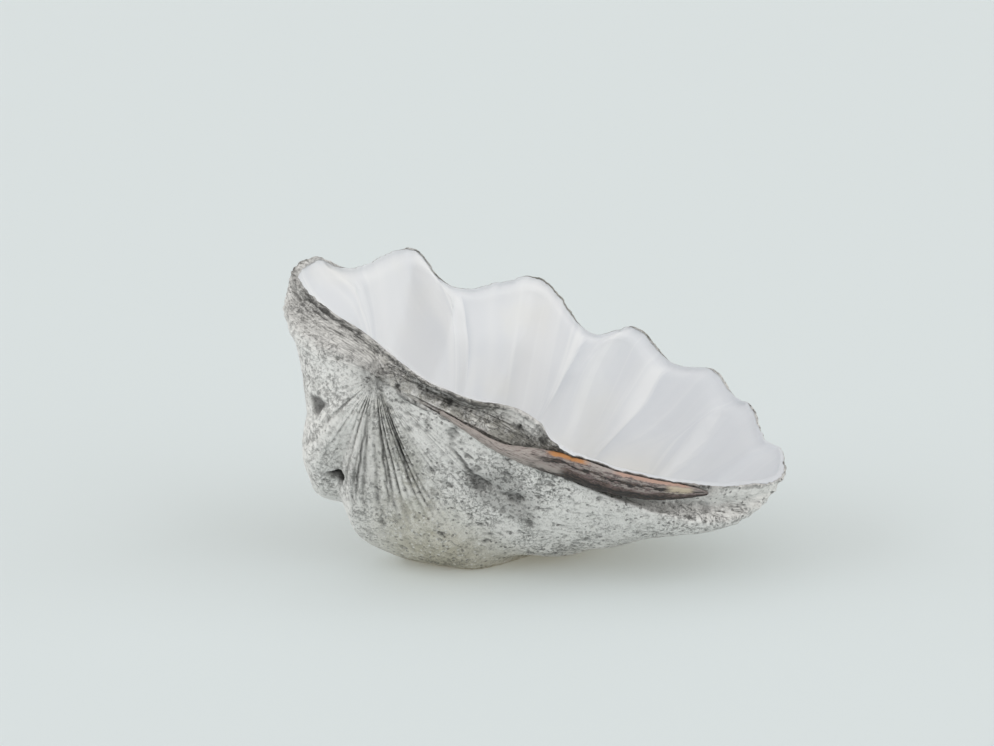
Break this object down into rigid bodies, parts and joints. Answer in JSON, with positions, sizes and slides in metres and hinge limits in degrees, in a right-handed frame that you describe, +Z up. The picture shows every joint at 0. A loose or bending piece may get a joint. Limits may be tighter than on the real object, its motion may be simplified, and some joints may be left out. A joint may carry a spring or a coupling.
{
  "type": "giant clam shell",
  "caption": "Single valve of a giant clam: a deep tilted bowl with broad radial folds, a scalloped lip, a chalky pitted outside, a white inside and a dark strip of hinge ligament.",
  "frame": {"origin": "centre of the bounding box at the level of the floor the valve rests on", "axes": "+Z up as the valve rests, +X along the length of the valve towards its lower narrow end, +Y from the hinge side towards the scalloped lip"},
  "size_m": [0.4658, 0.2966, 0.2853],
  "materials": {
    "shell": "chalky and pitted outside, smooth porcelain white inside",
    "ligament": "dried, layered and fibrous"
  },
  "bodies": {
    "root": {"valve": "shell", "ligament": "ligament"}
  },
  "joints": []
}
